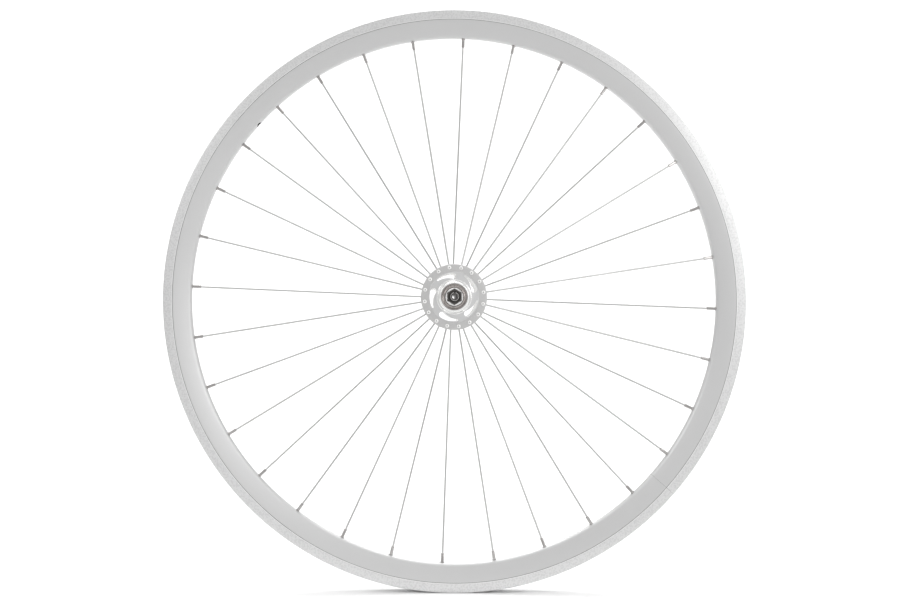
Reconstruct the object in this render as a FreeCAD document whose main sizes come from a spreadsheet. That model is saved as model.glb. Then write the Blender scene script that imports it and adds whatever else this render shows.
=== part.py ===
import FreeCAD, Part
import math
import os

import Sketcher
from FreeCAD import Placement, Rotation, Vector

# A bicycle front wheel: a deep double-wall aluminium rim, 32 spokes laced radially and a high-flange
# cup-and-cone hub on a hollow axle. Millimetres. The axle lies along Y, +Z is up, and the origin is the
# middle of the axle. With +X forward, the -Y side is the right-hand side and the +Y side is the left.

DIMENSIONS = [
    # rim
    ("rim_outer_radius", 316.5, "top of the rim flanges"),
    ("rim_apex_radius", 286.0, "innermost point of the rim"),
    ("bead_seat_radius", 311.0, "seat of the tyre bead, ISO 622"),
    ("well_radius", 306.5, "floor of the tyre well"),
    ("well_half_width", 3.4, "flat floor of the well, halved"),
    ("well_shoulder", 5.4, "where the bead seat starts, from the middle plane"),
    ("channel_half_width", 6.85, "inner width between the rim flanges, halved"),
    ("hook_depth", 0.55, "how far the bead hook leans inwards"),
    ("hook_foot", 3.2, "where the bead hook starts, below the top of the flange"),
    ("hook_height", 2.4, "upright face of the bead hook, below the top of the flange"),
    ("lip_rounding", 0.7, "rounding of the flange top, on the tyre's side"),
    ("lip_outer_rounding", 1.0, "rounding of the flange top, on the outside"),
    ("track_half_width", 9.25, "machined brake track, from the middle plane"),
    ("track_inner_radius", 306.3, "where the brake track ends"),
    ("track_groove_depth", 0.3, "fine groove between brake track and side wall"),
    ("track_groove_slope", 0.12, "width of each sloping side of that groove"),
    ("wall_half_width", 9.55, "widest point of the side wall"),
    ("wall_top_radius", 305.8, "where the side wall starts, below the brake track"),
    ("wall_bow_radius", 120.0, "gentle outward bow of the side wall"),
    ("nose_radius", 5.0, "rounding of the inner edge of the rim"),
    ("nose_tangent", 20.5, "slope of the side wall where it meets that rounding, in degrees"),
    ("bed_thickness", 1.15, "outer bed of the rim"),
    ("spoke_bed_thickness", 3.4, "inner bed of the rim, at a spoke hole"),
    ("cavity_floor_half", 2.7, "flat floor of the rim cavity, halved"),
    ("track_wall", 1.3, "wall behind the brake track"),
    ("nipple_hole_radius", 2.3, "hole for a nipple in the inner bed"),
    ("access_hole_radius", 4.2, "hole in the outer bed that lets the nipple in"),
    ("valve_hole_radius", 3.3, "hole for a narrow valve, through both beds"),
    ("sleeve_half_angle", 3.6, "half the length of the joint sleeve, in degrees"),
    ("sleeve_gap", 0.2, "clearance of the joint sleeve in the rim cavity"),
    # spokes and nipples
    ("spoke_count", 32, "spokes in the wheel, half of them on each flange"),
    ("spoke_phase", 8.8, "angle of the first right-hand spoke above +X, in degrees"),
    ("spoke_radius", 1.0, "plain spoke wire"),
    ("spoke_incline", 6.75, "slope of a spoke against the wheel plane, in degrees"),
    ("spoke_bend_radius", 2.6, "centre line of the elbow"),
    ("spoke_head_radius", 2.05, "mushroom head of a spoke"),
    ("spoke_head_height", 1.05, "mushroom head of a spoke"),
    ("spoke_seat_radius", 287.6, "where a spoke's centre line crosses the wheel plane"),
    ("spoke_end_radius", 291.4, "where a spoke ends inside its nipple"),
    ("nipple_bore_radius", 1.06, "hole through a nipple"),
    ("nipple_shank_radius", 1.98, "round part of a nipple"),
    ("nipple_square_half", 1.63, "square part of a nipple, across flats, halved"),
    ("nipple_head_radius", 2.8, "head of a nipple"),
    ("nipple_seat_height", 0.9, "cone under the nipple head"),
    ("nipple_head_height", 1.3, "rim of the nipple head"),
    ("nipple_dome_height", 0.9, "dome above the nipple head"),
    ("nipple_shank_length", 3.9, "round part below the cone"),
    ("nipple_square_length", 9.0, "square part, to the tip"),
    ("nipple_slot_width", 1.1, "screwdriver slot in the head"),
    ("nipple_lift", 1.85, "start of the cone, from where the spoke crosses the wheel plane"),
    # hub shell
    ("flange_radius", 35.2, "outer edge of a hub flange"),
    ("flange_middle", 34.0, "middle of a flange, from the wheel plane"),
    ("flange_thickness", 3.2, "flange at the spoke holes"),
    ("flange_edge_rounding", 1.2, "rounding of the flange edge"),
    ("ring_inner_radius", 27.2, "inner edge of the thicker ring that holds the spokes"),
    ("web_relief", 0.4, "how much thinner the flange is inside that ring, on its outer face"),
    ("hole_circle_radius", 31.5, "spoke holes in a flange"),
    ("spoke_hole_radius", 1.3, "spoke hole"),
    ("spoke_hole_chamfer", 0.5, "chamfer at both ends of a spoke hole"),
    ("barrel_radius", 13.6, "middle of the hub shell"),
    ("barrel_half_length", 17.0, "straight middle of the hub shell"),
    ("barrel_end_radius", 17.4, "hub shell just inside a flange"),
    ("barrel_flare_radius", 30.0, "bow of the shell between its middle and the flange"),
    ("fillet_radius", 1.5, "fillets between the shell and its flanges"),
    ("shell_bore_radius", 8.0, "grease space between the cups"),
    ("boss_radius", 18.0, "hub body outside the flange"),
    ("boss_end_radius", 15.5, "outer end of the hub body"),
    ("boss_bow_radius", 9.0, "rounded shoulder of the hub body"),
    ("shell_half_length", 43.0, "outer end of the hub shell"),
    ("slot_count", 5, "lightening slots in each flange"),
    ("slot_phase", 92.2, "middle of the round end of a slot, in degrees"),
    ("slot_sweep", 41.8, "from the round end of a slot to its tail, in degrees"),
    ("slot_outer_radius", 25.8, "outer edge of a slot"),
    ("slot_end_radius", 3.2, "round end of a slot"),
    ("slot_tail_radius", 0.9, "tail of a slot"),
    ("slot_belly_radius", 21.0, "inner edge of a slot, between its ends"),
    # bearings
    ("ball_radius", 2.38125, "3/16 inch ball"),
    ("ball_count", 10, "balls in each bearing"),
    ("ball_circle_radius", 8.35, "centres of the balls"),
    ("ball_plane", 36.6, "centres of the balls, from the wheel plane"),
    ("race_radius", 2.44, "groove of cup and cone"),
    ("cup_radius", 13.0, "outside of a pressed-in cup"),
    ("cup_lip_radius", 7.6, "hole in the floor of a cup"),
    ("cup_inner_face", 32.6, "inner face of a cup, from the wheel plane"),
    ("cup_outer_face", 40.4, "outer face of a cup, from the wheel plane"),
    ("cap_radius", 14.15, "dust cap, in its seat in the hub shell"),
    ("cap_seat_face", 40.9, "bottom of the dust cap seat, from the wheel plane"),
    ("cap_thickness", 0.7, "sheet of the dust cap"),
    ("cap_hole_radius", 9.9, "hole in the dust cap"),
    ("cap_dish", 0.5, "how deep the dust cap is dished around its rolled lip"),
    ("cap_recess", 0.4, "how far the dust cap lies below the end of the hub shell"),
    ("cap_edge_rounding", 0.5, "rounding of the dust cap's outer edge"),
    ("cap_border", 1.2, "flat border of the dust cap"),
    ("cap_lip_width", 1.5, "rolled lip round the hole of the dust cap"),
    ("cap_lip_rise", 0.2, "how far that lip stands up again"),
    ("cap_lip_bow", 0.85, "radius of that lip"),
    # axle and its nuts
    ("axle_radius", 4.5, "M9 hollow axle, where it stands out of the locknuts"),
    ("thread_radius", 4.175, "plain cylinder that stands for the M9 thread under the nuts"),
    ("axle_bore_radius", 2.55, "bore for a quick-release skewer"),
    ("axle_half_length", 54.0, "end of the axle"),
    ("axle_chamfer", 0.7, "chamfer at the axle ends"),
    ("keyway_half_width", 1.0, "keyway along the axle"),
    ("keyway_floor", 3.5, "floor of the keyway, from the axis"),
    ("key_gap", 0.12, "play of the washer's key in the keyway"),
    ("thread_gap", 0.03, "clearance between the axle and what is screwed on"),
    ("stub_gap", 0.1, "from the locknut to where the axle has its full diameter"),
    ("cone_neck_radius", 5.85, "cone inboard of its race"),
    ("cone_inner_face", 31.4, "inner face of the cone"),
    ("cone_shoulder_radius", 9.4, "polished shoulder of the cone"),
    ("cone_shoulder_face", 43.6, "outer face of that shoulder"),
    ("cone_end_radius", 8.0, "round end of the cone that carries the wrench flats"),
    ("cone_flat_half", 6.5, "13 mm wrench flats of the cone, halved"),
    ("cone_face", 45.0, "outer face of the cone"),
    ("washer_radius", 7.3, "keyed washer"),
    ("washer_thickness", 1.2, "keyed washer"),
    ("locknut_half", 7.5, "15 mm hexagon, halved"),
    ("locknut_face", 50.0, "outer faces of the locknuts, for a 100 mm fork"),
    ("locknut_chamfer", 0.8, "chamfer of the hexagon corners"),
    ("countersink_radius", 4.85, "countersink at both ends of a locknut's thread"),
]

RIGHT, LEFT = -1, 1
SIDES = {"right": RIGHT, "left": LEFT}
DRILL_RUN_UP = 2.0  # how far outside the metal a drilled hole starts and ends

doc = FreeCAD.newDocument("front_wheel")
sheet = doc.addObject("Spreadsheet::Sheet", "Dimensions")


class Size:
    """A number together with the sheet expression that gives it."""

    def __init__(self, value, text):
        self.value = value
        self.text = text

    def __add__(self, other):
        other = as_size(other)
        return Size(self.value + other.value, f"({self.text} + {other.text})")

    def __radd__(self, other):
        return as_size(other) + self

    def __sub__(self, other):
        other = as_size(other)
        return Size(self.value - other.value, f"({self.text} - {other.text})")

    def __rsub__(self, other):
        return as_size(other) - self

    def __mul__(self, other):
        other = as_size(other)
        return Size(self.value * other.value, f"({self.text} * {other.text})")

    def __rmul__(self, other):
        return as_size(other) * self

    def __neg__(self):
        return Size(-self.value, f"(-1 * {self.text})")


def as_size(number):
    return number if isinstance(number, Size) else Size(float(number), repr(float(number)))


def trig(name, angle):
    """sin, cos or tan of an angle in degrees."""
    value = getattr(math, name)(math.radians(angle.value))
    return Size(value, f"{name}({angle.text} * 1 deg)")


def fill_sheet():
    """Writes the driving dimensions and returns them as Sizes by name."""
    sizes = {}
    for row, (alias, value, note) in enumerate(DIMENSIONS, start=1):
        sheet.set(f"A{row}", note)
        sheet.set(f"B{row}", str(value))
        sheet.setAlias(f"B{row}", alias)
        sizes[alias] = Size(float(value), f"Dimensions.{alias}")
    doc.recompute()
    return sizes


D = fill_sheet()


# ---- sketches and features -----------------------------------------------------------------------


def arc_to(point, radius, turn):
    """An arc that ends at point; turn is 1 for a left-hand bend and -1 for a right-hand one."""
    return ("arc", point, as_size(radius), turn)


def mirror(path):
    """The same path on the other side of the sketch's X axis."""
    turned = []
    for step in path:
        if step[0] == "arc":
            turned.append(arc_to((step[1][0], -as_size(step[1][1])), step[2], -step[3]))
        else:
            turned.append((step[0], -as_size(step[1])))
    return turned


def both_halves(half):
    """A closed outline made of a half path that starts and ends on the X axis and its mirror image."""
    back = mirror(half)
    points = [step[1] if step[0] == "arc" else step for step in back]
    outline = list(half)
    for i in range(len(back) - 1, 1, -1):
        step = back[i]
        outline.append(arc_to(points[i - 1], step[2], -step[3]) if step[0] == "arc" else points[i - 1])
    closing = back[1]
    if closing[0] == "arc":
        outline[0] = arc_to(points[0], closing[2], -closing[3])
    return outline


def on_side(path, side):
    """A path drawn for the left-hand side, moved to the side asked for."""
    return path if side == LEFT else mirror(path)


def arc_geometry(start, end, radius, turn):
    (ax, ay), (bx, by) = start, end
    chord = math.hypot(bx - ax, by - ay)
    rise = math.sqrt(max(radius * radius - chord * chord / 4, 0.0))
    cx = (ax + bx) / 2 - turn * (by - ay) / chord * rise
    cy = (ay + by) / 2 + turn * (bx - ax) / chord * rise
    first, last = (start, end) if turn > 0 else (end, start)
    a0 = math.atan2(first[1] - cy, first[0] - cx)
    a1 = math.atan2(last[1] - cy, last[0] - cx)
    if a1 < a0:
        a1 += 2 * math.pi
    return Part.ArcOfCircle(Part.Circle(Vector(cx, cy, 0), Vector(0, 0, 1), radius), a0, a1)


def bind(sketch, constraint, size):
    index = sketch.addConstraint(constraint)
    sketch.setExpression(f"Constraints[{index}]", size.text)


def pin_point(sketch, geo, pos, point):
    """Fixes an end of a sketch edge at a point whose coordinates come from the sheet."""
    for kind, size, axis in (("DistanceX", point[0], -2), ("DistanceY", point[1], -1)):
        size = as_size(size)
        if abs(size.value) < 1e-9:
            sketch.addConstraint(Sketcher.Constraint("PointOnObject", geo, pos, axis))
        else:
            bind(sketch, Sketcher.Constraint(kind, -1, 1, geo, pos, size.value), size)


def draw(sketch, path, closed=True):
    """Draws lines and arcs from point to point, each point and radius bound to the sheet."""
    points = [step[1] if step[0] == "arc" else step for step in path]
    numbers = [(as_size(x).value, as_size(y).value) for x, y in points]
    ends = []
    for i in range(1, len(path) + (1 if closed else 0)):
        j = i % len(path)
        step = path[j]
        if step[0] == "arc":
            geometry = arc_geometry(numbers[i - 1], numbers[j], step[2].value, step[3])
            geo = sketch.addGeometry(geometry, False)
            ends.append((geo, 1, 2) if step[3] > 0 else (geo, 2, 1))
            bind(sketch, Sketcher.Constraint("Radius", geo, step[2].value), step[2])
        else:
            a, b = numbers[i - 1], numbers[j]
            line = Part.LineSegment(Vector(a[0], a[1], 0), Vector(b[0], b[1], 0))
            geo = sketch.addGeometry(line, False)
            ends.append((geo, 1, 2))
        pin_point(sketch, geo, ends[-1][1], points[i - 1])
    if not closed:
        geo, _, last = ends[-1]
        pin_point(sketch, geo, last, points[-1])
    for before, after in zip(ends, ends[1:] + (ends[:1] if closed else [])):
        sketch.addConstraint(Sketcher.Constraint("Coincident", before[0], before[2], after[0], after[1]))


def draw_circle(sketch, x, y, radius):
    x, y = as_size(x), as_size(y)
    circle = Part.Circle(Vector(x.value, y.value, 0), Vector(0, 0, 1), radius.value)
    geo = sketch.addGeometry(circle, False)
    bind(sketch, Sketcher.Constraint("Radius", geo, radius.value), radius)
    pin_point(sketch, geo, 3, (x, y))


def new_body(label):
    body = doc.addObject("PartDesign::Body", label)
    body.Label = label
    return body


def new_sketch(body, name, plane="XY_Plane", shift=(0, 0, 0), tilt=0.0):
    """A sketch on one of the body's origin planes, shifted along and tilted about that plane's axes."""
    sketch = body.newObject("Sketcher::SketchObject", name)
    planes = [feature for feature in body.Origin.OriginFeatures if feature.Role == plane]
    sketch.AttachmentSupport = [(planes[0], "")]
    sketch.MapMode = "FlatFace"
    sizes = [as_size(size) for size in shift]
    base = Vector(*[size.value for size in sizes])
    sketch.AttachmentOffset = Placement(base, Rotation(Vector(1, 0, 0), -tilt))
    for axis, size in zip("xyz", sizes):
        if size.value:
            sketch.setExpression(f"AttachmentOffset.Base.{axis}", size.text)
    return sketch


def side_sketch(body, name, side, low, high):
    """A sketch square to the axle from which a pad of length high - low covers that stretch of |y|."""
    # The XZ plane looks towards -Y, so the left-hand side starts from its far end.
    return new_sketch(body, name, "XZ_Plane", (0, 0, low if side == RIGHT else -high))


def revolve(body, sketch, feature="PartDesign::Revolution", axis="V_Axis", angle=360.0):
    turned = body.newObject(feature, sketch.Name + "_turn")
    turned.Profile = sketch
    turned.ReferenceAxis = (sketch, [axis])
    turned.Angle = angle
    turned.Midplane = angle < 360.0
    sketch.Visibility = False
    return turned


def extrude(body, sketch, length, feature="PartDesign::Pad", midplane=False, backwards=False):
    """Pads or pockets a sketch; a pocket cuts against the sketch's normal unless backwards is set."""
    made = body.newObject(feature, sketch.Name + "_run")
    made.Profile = sketch
    length = as_size(length)
    made.Length = length.value
    made.setExpression("Length", length.text)
    made.Midplane = midplane
    made.Reversed = backwards
    sketch.Visibility = False
    return made


def polar(body, feature, count, axis="Y_Axis"):
    """Repeats a feature round one of the body's axes."""
    pattern = body.newObject("PartDesign::PolarPattern", feature.Name + "_round")
    axes = [one for one in body.Origin.OriginFeatures if one.Role == axis]
    count = as_size(count)
    pattern.Originals = [feature]
    pattern.Axis = (axes[0], [""])
    pattern.Angle = 360.0
    pattern.Occurrences = int(count.value)
    pattern.setExpression("Occurrences", count.text)
    body.Tip = pattern
    return pattern


def must_cut(body, before):
    """Stops the build if the cuts since that volume removed nothing."""
    doc.recompute()
    if not body.Shape.Volume < before - 1e-3:
        raise RuntimeError(f"{body.Label}: a cut removed nothing")


def volume_of(body):
    doc.recompute()
    return body.Shape.Volume


def round_wheel(angle):
    """A turn about the axle that lifts +X by angle degrees towards +Z."""
    return Placement(Vector(0, 0, 0), Rotation(Vector(0, -1, 0), angle))


# ---- rim -----------------------------------------------------------------------------------------


def rim_outer_path():
    """Half of the rim section, from the well floor over the flange and down to the apex."""
    outer, track, apex = D["rim_outer_radius"], D["track_half_width"], D["rim_apex_radius"]
    hook = D["channel_half_width"] - D["hook_depth"]
    lip, edge = D["lip_rounding"], D["lip_outer_rounding"]
    groove, slope = track - D["track_groove_depth"], D["track_groove_slope"]
    nose, lean = D["nose_radius"], D["nose_tangent"]
    tangent = (apex + nose - nose * trig("sin", lean), nose * trig("cos", lean))
    return [
        (D["well_radius"], 0),
        (D["well_radius"], D["well_half_width"]),
        (D["bead_seat_radius"], D["well_shoulder"]),
        (D["bead_seat_radius"], D["channel_half_width"]),
        (outer - D["hook_foot"], D["channel_half_width"]),
        (outer - D["hook_height"], hook),
        (outer - lip, hook),
        arc_to((outer, hook + lip), lip, 1),
        (outer, track - edge),
        arc_to((outer - edge, track), edge, 1),
        (D["track_inner_radius"], track),
        (D["track_inner_radius"] - slope, groove),
        (D["wall_top_radius"] + slope, groove),
        (D["wall_top_radius"], D["wall_half_width"]),
        arc_to(tangent, D["wall_bow_radius"], 1),
        arc_to((apex, 0), nose, 1),
    ]


def rim_cavity_path(gap):
    """Half of the cavity section, from under the well to the spoke bed, made smaller by gap."""
    floor = D["rim_apex_radius"] + D["spoke_bed_thickness"] + gap
    shelf = D["bead_seat_radius"] - D["bed_thickness"] - gap
    side = D["track_half_width"] - D["track_wall"] - gap
    return [
        (D["well_radius"] - D["bed_thickness"] - gap, 0),
        (D["well_radius"] - D["bed_thickness"] - gap, D["well_half_width"] + 0.5),
        (shelf, D["well_shoulder"] + 0.75),
        (shelf, side - 0.2),
        (D["wall_top_radius"] - 1.0, side),
        (floor + 0.8, D["cavity_floor_half"] + 1.0 - gap),
        (floor, D["cavity_floor_half"] - gap),
        (floor, 0),
    ]


def drill_outwards(body, name, start, length, radius, angle=0.0):
    """A radial hole that starts at a distance from the axle, angle degrees above +X."""
    run = as_size(start)
    turn = as_size(angle)
    # On the YZ plane the sketch's own y and z axes point along +Z and +X.
    shift = (0, run * trig("sin", turn), run * trig("cos", turn))
    sketch = new_sketch(body, name, "YZ_Plane", shift, angle)
    draw_circle(sketch, 0, 0, radius)
    return extrude(body, sketch, length, "PartDesign::Pocket", backwards=True)


def spoke_step():
    return 360.0 / D["spoke_count"].value


def valve_angle():
    """Half way between two spokes, measured from the first spoke."""
    return 11.5 * spoke_step()


def make_rim():
    body = new_body("rim")
    section = new_sketch(body, "rim_section")
    draw(section, both_halves(rim_outer_path()))
    revolve(body, section)

    volume = volume_of(body)
    cavity = new_sketch(body, "rim_cavity")
    draw(cavity, both_halves(rim_cavity_path(0)))
    revolve(body, cavity, "PartDesign::Groove")
    must_cut(body, volume)

    apex, outer = D["rim_apex_radius"], D["rim_outer_radius"]
    below_apex = apex - DRILL_RUN_UP

    volume = volume_of(body)
    through_bed = D["spoke_bed_thickness"] + 2 * DRILL_RUN_UP
    nipple_hole = drill_outwards(body, "nipple_hole", below_apex, through_bed, D["nipple_hole_radius"])
    polar(body, nipple_hole, D["spoke_count"])
    must_cut(body, volume)

    volume = volume_of(body)
    below_well = D["well_radius"] - D["bed_thickness"] - DRILL_RUN_UP
    access_hole = drill_outwards(
        body, "access_hole", below_well, outer - below_well, D["access_hole_radius"]
    )
    polar(body, access_hole, D["spoke_count"])
    must_cut(body, volume)

    volume = volume_of(body)
    through_rim = outer - below_apex
    drill_outwards(body, "valve_hole", below_apex, through_rim, D["valve_hole_radius"], valve_angle())
    must_cut(body, volume)
    body.Placement = round_wheel(D["spoke_phase"].value)
    return body


def make_joint_sleeve():
    """The sleeve that joins the two ends of the rim extrusion, opposite the valve hole."""
    body = new_body("rim_joint_sleeve")
    section = new_sketch(body, "sleeve_section")
    draw(section, both_halves(rim_cavity_path(D["sleeve_gap"])))
    revolve(body, section, angle=2 * D["sleeve_half_angle"].value)
    body.Placement = round_wheel(D["spoke_phase"].value + valve_angle() + 180.0)
    return body


# ---- spokes and nipples --------------------------------------------------------------------------


def spoke_route(face):
    """Centre line of a J-bend spoke, from inside its head through the flange and out to the rim."""
    hole, bend, lean = D["hole_circle_radius"], D["spoke_bend_radius"], D["spoke_incline"]
    elbow_end = hole + bend - bend * trig("sin", lean)
    # The straight part has to cross the wheel plane at its seat in the rim.
    fall = (D["spoke_seat_radius"] - elbow_end) * trig("tan", lean)
    overshoot = (D["spoke_end_radius"] - D["spoke_seat_radius"]) * trig("tan", lean)
    return [
        (hole, face + D["spoke_head_height"] * 0.5),
        (hole, fall + bend * trig("cos", lean)),
        arc_to((elbow_end, fall), bend, 1),
        (D["spoke_end_radius"], -overshoot),
    ]


def spoke_head_path(face):
    """Half section of the mushroom head, measured from the middle of its hole."""
    radius, height = D["spoke_head_radius"], D["spoke_head_height"]
    foot = face + 0.03
    return [
        (0, foot),
        (radius, foot),
        (radius, foot + height * 0.3),
        (radius * 0.55, foot + height),
        (0, foot + height),
    ]


def make_spoke(number):
    """One spoke: its head lies on the outside of the flange and its wire runs inside it."""
    label = f"spoke_{number:02d}"
    side = spoke_side(number)
    face = D["flange_middle"] + D["flange_thickness"] * 0.5
    hole = D["hole_circle_radius"]
    body = new_body(label)
    route = new_sketch(body, label + "_route")
    draw(route, on_side(spoke_route(face), side), closed=False)
    start = (face + D["spoke_head_height"] * 0.5) * -side
    wire = new_sketch(body, label + "_wire", "XZ_Plane", (hole, 0, start))
    draw_circle(wire, 0, 0, D["spoke_radius"])
    pipe = body.newObject("PartDesign::AdditivePipe", label + "_pipe")
    pipe.Profile = wire
    pipe.Spine = (route, ["Edge1", "Edge2", "Edge3"])
    route.Visibility = False
    wire.Visibility = False
    head = new_sketch(body, label + "_head", shift=(hole, 0, 0))
    draw(head, on_side(spoke_head_path(face), side))
    revolve(body, head)
    body.Placement = round_wheel(spoke_angle(number))
    return body


def spoke_side(number):
    return RIGHT if number % 2 else LEFT


def spoke_angle(number):
    return D["spoke_phase"].value + (number - 1) * spoke_step()


def spoke_numbers():
    return range(1, int(D["spoke_count"].value) + 1)


def nipple_path():
    """Half section of a nipple along +X, with the cone under its head starting at the origin."""
    bore, shank, head = D["nipple_bore_radius"], D["nipple_shank_radius"], D["nipple_head_radius"]
    tip = -(D["nipple_shank_length"] + D["nipple_square_length"])
    seat = D["nipple_seat_height"]
    top = seat + D["nipple_head_height"] + D["nipple_dome_height"]
    return [
        (tip, bore),
        (tip, shank - 0.55),
        (tip + 0.7, shank),
        (0, shank),
        (seat, head),
        (top - D["nipple_dome_height"], head),
        (top, head * 0.55),
        (top, bore),
    ]


def make_nipple():
    """The nipple that all 32 are copies of."""
    body = new_body("nipple")
    section = new_sketch(body, "nipple_section")
    draw(section, nipple_path())
    revolve(body, section, axis="H_Axis")

    volume = volume_of(body)
    tip = -(D["nipple_shank_length"] + D["nipple_square_length"])
    flats = new_sketch(body, "nipple_flat", "YZ_Plane", (0, 0, tip))
    wide, half = D["nipple_shank_radius"] + 1.0, D["nipple_square_half"]
    draw(flats, [(half, -wide), (wide, -wide), (wide, wide), (half, wide)])
    flat = extrude(body, flats, D["nipple_square_length"], "PartDesign::Pocket", backwards=True)
    polar(body, flat, 4, axis="X_Axis")
    must_cut(body, volume)

    volume = volume_of(body)
    top = D["nipple_seat_height"] + D["nipple_head_height"] + D["nipple_dome_height"]
    slot = new_sketch(body, "nipple_slot", "YZ_Plane", (0, 0, top))
    half, reach = D["nipple_slot_width"] * 0.5, D["nipple_head_radius"] + 0.5
    draw(slot, [(-reach, -half), (reach, -half), (reach, half), (-reach, half)])
    extrude(body, slot, D["nipple_dome_height"] + 0.3, "PartDesign::Pocket")
    must_cut(body, volume)
    return body


def make_nipples(word, side, nipple):
    """The nipples of one flange's spokes: copies of one nipple, so their shape is set by code."""
    lean = Rotation(Vector(0, 0, 1), -side * D["spoke_incline"].value)
    lift = lean.multVec(Vector(D["nipple_lift"].value, 0, 0))
    seat = Placement(Vector(D["spoke_seat_radius"].value, 0, 0) + lift, lean)
    solids = []
    for number in spoke_numbers():
        if spoke_side(number) == side:
            solid = nipple.Shape.Solids[0].copy()
            solid.Placement = round_wheel(spoke_angle(number)).multiply(seat)
            solids.append(solid)
    group = doc.addObject("Part::Feature", "nipples_" + word)
    group.Shape = Part.makeCompound(solids)
    return group


# ---- hub shell -----------------------------------------------------------------------------------


def shell_outer_path():
    """Half of the hub shell's outside, from the middle of the barrel out to the dust cap seat."""
    half = D["flange_thickness"] * 0.5
    inner, outer = D["flange_middle"] - half, D["flange_middle"] + half
    web = outer - D["web_relief"]
    fillet, edge, radius = D["fillet_radius"], D["flange_edge_rounding"], D["flange_radius"]
    waist, boss = D["barrel_end_radius"], D["boss_radius"]
    ring, end, length = D["ring_inner_radius"], D["boss_end_radius"], D["shell_half_length"]
    return [
        (D["barrel_radius"], 0),
        (D["barrel_radius"], D["barrel_half_length"]),
        arc_to((waist, inner - fillet), D["barrel_flare_radius"], -1),
        arc_to((waist + fillet, inner), fillet, -1),
        (radius - edge, inner),
        arc_to((radius, inner + edge), edge, 1),
        (radius, outer - edge),
        arc_to((radius - edge, outer), edge, 1),
        (ring, outer),
        (ring - D["web_relief"], web),
        (boss + fillet * 0.5, web),
        arc_to((boss, web + fillet * 0.5), fillet * 0.5, -1),
        arc_to((end, length - 0.5), D["boss_bow_radius"], 1),
        (end - 0.5, length),
        (D["cap_radius"], length),
    ]


def shell_bore_path():
    """Half of the hub shell's bore, from the dust cap seat back to the middle."""
    return [
        (D["cap_radius"], D["cap_seat_face"]),
        (D["cup_radius"], D["cap_seat_face"]),
        (D["cup_radius"], D["cup_inner_face"]),
        (D["shell_bore_radius"], D["cup_inner_face"]),
        (D["shell_bore_radius"], 0),
    ]


def slot_path():
    """A slot that is round at one end and follows the flange to a narrow tail."""
    outer, big, small = D["slot_outer_radius"], D["slot_end_radius"], D["slot_tail_radius"]
    start, end = D["slot_phase"], D["slot_phase"] + D["slot_sweep"]

    def at(angle, distance, along=0):
        x = distance * trig("cos", angle) - along * trig("sin", angle)
        y = distance * trig("sin", angle) + along * trig("cos", angle)
        return (x, y)

    return [
        arc_to(at(start, outer - big * 2), D["slot_belly_radius"], -1),
        arc_to(at(start, outer - big, -big), big, 1),
        arc_to(at(start, outer), big, 1),
        arc_to(at(end, outer), outer, 1),
        arc_to(at(end, outer - small, small), small, 1),
        arc_to(at(end, outer - small * 2), small, 1),
    ]


def spoke_hole_path():
    """Half section of a spoke hole with a chamfer at each end, measured from its own middle."""
    radius, half = D["spoke_hole_radius"], D["flange_thickness"] * 0.5
    bevel = D["spoke_hole_chamfer"]
    low, high = D["flange_middle"] - half, D["flange_middle"] + half
    return [
        (0, low),
        (radius + bevel, low),
        (radius, low + bevel),
        (radius, high - bevel),
        (radius + bevel, high),
        (0, high),
    ]


def make_hub_shell():
    body = new_body("hub_shell")
    section = new_sketch(body, "shell_section")
    draw(section, both_halves(shell_outer_path() + shell_bore_path()))
    revolve(body, section)

    volume = volume_of(body)
    slot = new_sketch(body, "flange_slot", "XZ_Plane")
    draw(slot, slot_path())
    both_flanges = (D["flange_middle"] + D["flange_thickness"]) * 2
    cut = extrude(body, slot, both_flanges, "PartDesign::Pocket", midplane=True)
    polar(body, cut, D["slot_count"])
    must_cut(body, volume)

    for word, side in SIDES.items():
        volume = volume_of(body)
        first = 1 if side == RIGHT else 2
        make_spoke_holes(body, word, side, spoke_angle(first))
        must_cut(body, volume)
    return body


def make_spoke_holes(body, word, side, angle):
    """The holes of one flange; the sketch stands in the plane of its first spoke."""
    hole = new_sketch(body, "spoke_hole_" + word)
    turn = Rotation(Vector(0, 1, 0), -angle)
    middle = turn.multVec(Vector(D["hole_circle_radius"].value, 0, 0))
    hole.AttachmentOffset = Placement(middle, turn)
    draw(hole, on_side(spoke_hole_path(), side))
    cut = revolve(body, hole, "PartDesign::Groove")
    polar(body, cut, D["spoke_count"] * 0.5)


# ---- bearings ------------------------------------------------------------------------------------


def cup_path():
    """Section of a pressed-in cup; its race is the corner that faces the axle and the outside."""
    race, circle, plane = D["race_radius"], D["ball_circle_radius"], D["ball_plane"]
    return [
        (D["cup_radius"], D["cup_inner_face"]),
        (D["cup_radius"], D["cup_outer_face"]),
        (circle + race + 0.4, D["cup_outer_face"]),
        (circle + race, D["cup_outer_face"] - 0.4),
        (circle + race, plane),
        arc_to((circle, plane - race), race, -1),
        (D["cup_lip_radius"], plane - race),
        (D["cup_lip_radius"], D["cup_inner_face"]),
    ]


def cone_path():
    """Section of a cone; its race is the corner that faces the cup."""
    race, circle, plane = D["race_radius"], D["ball_circle_radius"], D["ball_plane"]
    bore = D["thread_radius"] + D["thread_gap"]
    shoulder, end, face = D["cone_shoulder_radius"], D["cone_end_radius"], D["cone_face"]
    return [
        (bore, D["cone_inner_face"]),
        (D["cone_neck_radius"] - 0.4, D["cone_inner_face"]),
        (D["cone_neck_radius"], D["cone_inner_face"] + 0.4),
        (circle - race, plane),
        arc_to((circle, plane + race), race, -1),
        (shoulder, plane + race),
        (shoulder, D["cone_shoulder_face"] - 0.5),
        (shoulder - 0.5, D["cone_shoulder_face"]),
        (end, D["cone_shoulder_face"]),
        (end, face - 0.3),
        (end - 0.3, face),
        (bore, face),
    ]


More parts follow.
